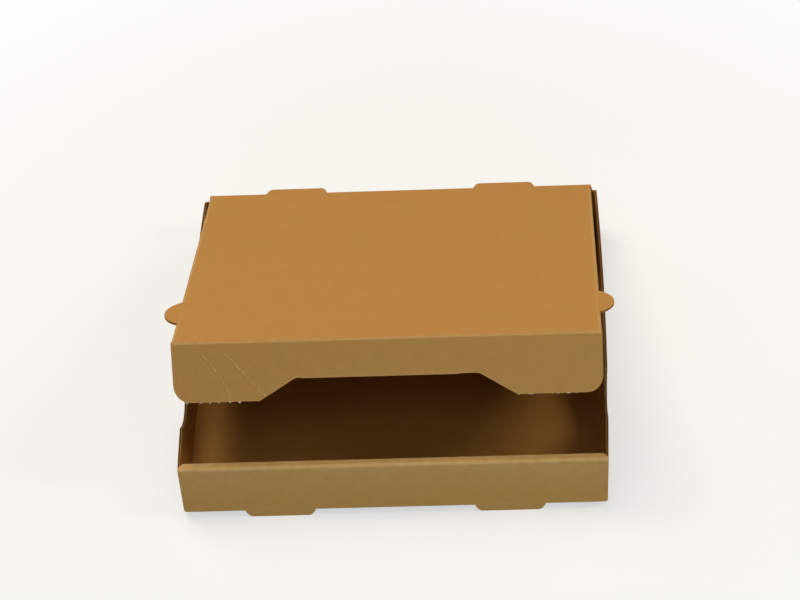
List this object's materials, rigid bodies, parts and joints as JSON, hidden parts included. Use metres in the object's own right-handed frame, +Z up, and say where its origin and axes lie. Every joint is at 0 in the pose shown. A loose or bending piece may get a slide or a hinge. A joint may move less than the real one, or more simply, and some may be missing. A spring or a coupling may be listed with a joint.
{
  "type": "pizza box",
  "caption": "Plain corrugated take-away pizza box folded from one sheet, hinged lid standing ajar, with a free front flap.",
  "frame": {"origin": "on the surface it stands on, below the centre of its bounding box at rest", "axes": "+Z up; +X to the right, along the lid's crease; +Y from the front wall to the back wall, level, while the floor panel slopes down to the back by about 0.87 degrees because the box stands on its front feet and its rear bottom crease"},
  "size_m": [0.319, 0.3174, 0.1403],
  "materials": {
    "kraft_board": "matte"
  },
  "bodies": {
    "tray": {"tray": "kraft_board"},
    "lid": {"lid": "kraft_board"},
    "front_flap": {"front_flap": "kraft_board"}
  },
  "joints": [
    {"name": "lid_hinge", "type": "hinge", "parent": "tray", "child": "lid", "pos_m": [0, 0.14919, 0.04538], "axis": [-1, 0, 0], "range_deg": [-18, 162]},
    {"name": "front_flap_hinge", "type": "hinge", "parent": "lid", "child": "front_flap", "pos_m": [0, -0.12617, 0.13947], "axis": [-1, 0, 0], "range_deg": [-6, 84]}
  ]
}
